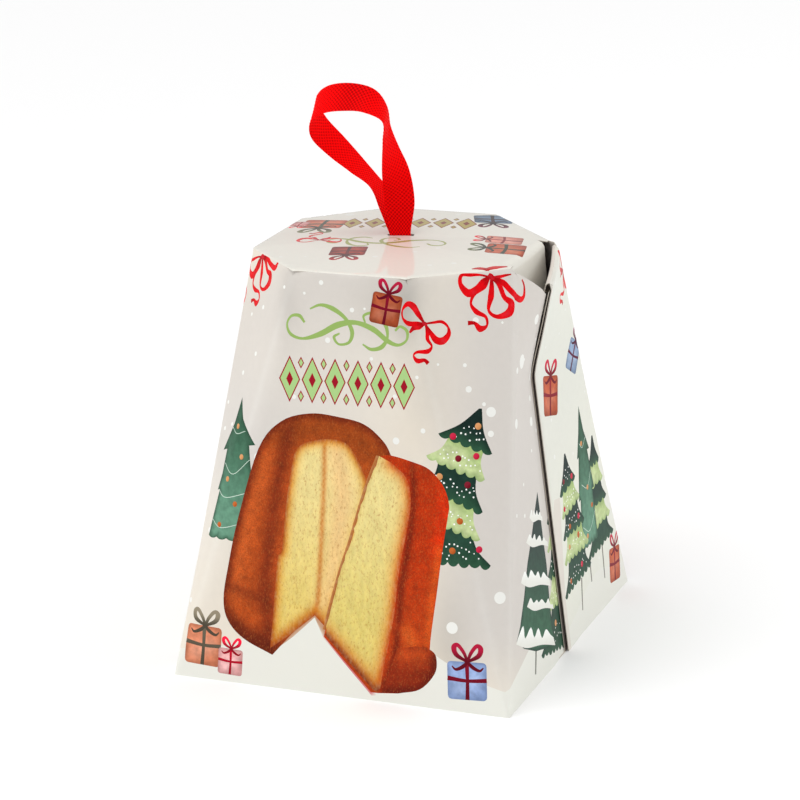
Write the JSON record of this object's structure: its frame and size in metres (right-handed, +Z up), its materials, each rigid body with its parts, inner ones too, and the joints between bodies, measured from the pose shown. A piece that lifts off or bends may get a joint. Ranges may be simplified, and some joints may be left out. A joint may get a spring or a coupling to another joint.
{
  "type": "pandoro gift carton",
  "caption": "Shut paperboard carton with a square base, an eight-sided lid, a sprung side flap and a loop of ribbon through the lid to carry it by.",
  "frame": {"origin": "centre of the bounding box at the base, on the surface the carton stands on", "axes": "+Z up, -Y towards the carton's front panel, +X towards the side where the board has sprung open"},
  "size_m": [0.1938, 0.2088, 0.3131],
  "materials": {
    "printed_board": "coated, satin, printed",
    "ribbon": "woven"
  },
  "bodies": {
    "root": {"carton": "printed_board", "ribbon": "ribbon"}
  },
  "joints": []
}
